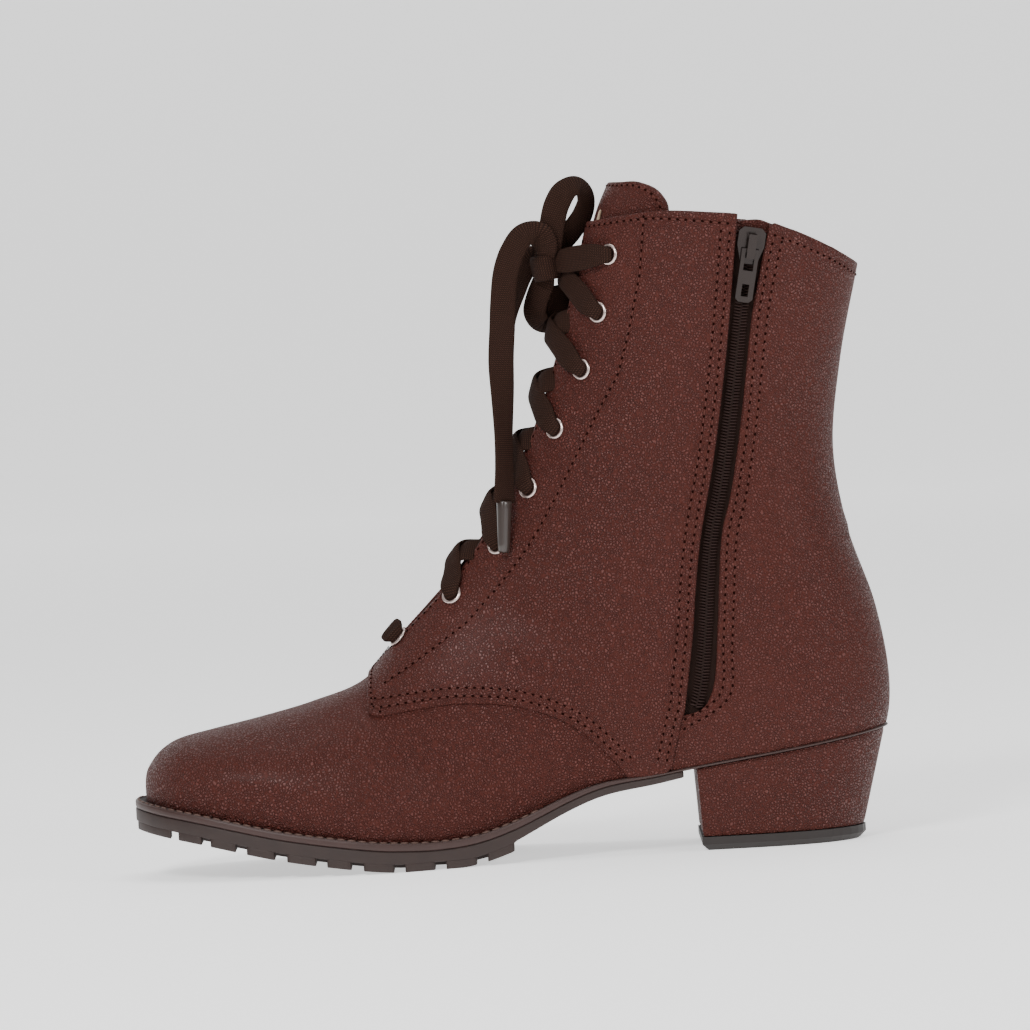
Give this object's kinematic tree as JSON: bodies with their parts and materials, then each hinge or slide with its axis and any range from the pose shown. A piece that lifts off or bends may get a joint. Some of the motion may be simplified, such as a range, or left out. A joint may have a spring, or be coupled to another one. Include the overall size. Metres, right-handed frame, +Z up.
{
  "type": "lace up ankle boot",
  "caption": "Right-foot leather ankle boot laced up the front through eyelets, with an inner side zip, lugged sole and low block heel.",
  "frame": {"origin": "middle of the heel's flat resting face on the floor", "axes": "+X towards the back of the heel, -X towards the toe, -Y towards the inner side with the zip, +Z up"},
  "size_m": [0.282, 0.1009, 0.2511],
  "materials": {
    "leather": "pebbled, reddish brown, satin",
    "lining": "smooth, matt",
    "welt": "moulded, satin",
    "rubber": "matt",
    "top_lift": "matt",
    "lace": "flat woven cord, matt",
    "aglet": "translucent grey, glossy",
    "eyelet_metal": "satin, pinkish",
    "zip_tape": "woven, matt",
    "zip_coil": "satin",
    "zip_metal": "lacquered, glossy"
  },
  "bodies": {
    "boot": {"upper": "leather", "tongue": "leather", "insole": "lining", "welt": "welt", "outsole": "rubber", "heel_block": "leather", "top_lift": "top_lift", "eyelet_inner_1": "eyelet_metal", "eyelet_inner_2": "eyelet_metal", "eyelet_inner_3": "eyelet_metal", "eyelet_inner_4": "eyelet_metal", "eyelet_inner_5": "eyelet_metal", "eyelet_inner_6": "eyelet_metal", "eyelet_inner_7": "eyelet_metal", "eyelet_inner_8": "eyelet_metal", "eyelet_outer_1": "eyelet_metal", "eyelet_outer_2": "eyelet_metal", "eyelet_outer_3": "eyelet_metal", "eyelet_outer_4": "eyelet_metal", "eyelet_outer_5": "eyelet_metal", "eyelet_outer_6": "eyelet_metal", "eyelet_outer_7": "eyelet_metal", "eyelet_outer_8": "eyelet_metal", "lace_bar_bottom": "lace", "lace_crossing_1": "lace", "lace_crossing_2": "lace", "lace_crossing_3": "lace", "lace_crossing_4": "lace", "lace_crossing_5": "lace", "lace_crossing_6": "lace", "lace_bar_top": "lace", "lace_knot": "lace", "lace_loop_up": "lace", "lace_loop_down": "lace", "lace_end_front": "lace", "lace_end_back": "lace", "aglet_front": "aglet", "aglet_back": "aglet", "zip_tape": "zip_tape", "zip_guard": "leather", "zip_coil": "zip_coil", "zip_slider": "zip_metal"},
    "zip_pull": {"zip_pull": "zip_metal"}
  },
  "joints": [
    {"name": "zip_pull_hinge", "type": "hinge", "parent": "boot", "child": "zip_pull", "pos_m": [-0.00068, -0.03621, 0.21947], "axis": [-0.9778, -0.0922, 0.188], "range_deg": [0, 165]}
  ]
}
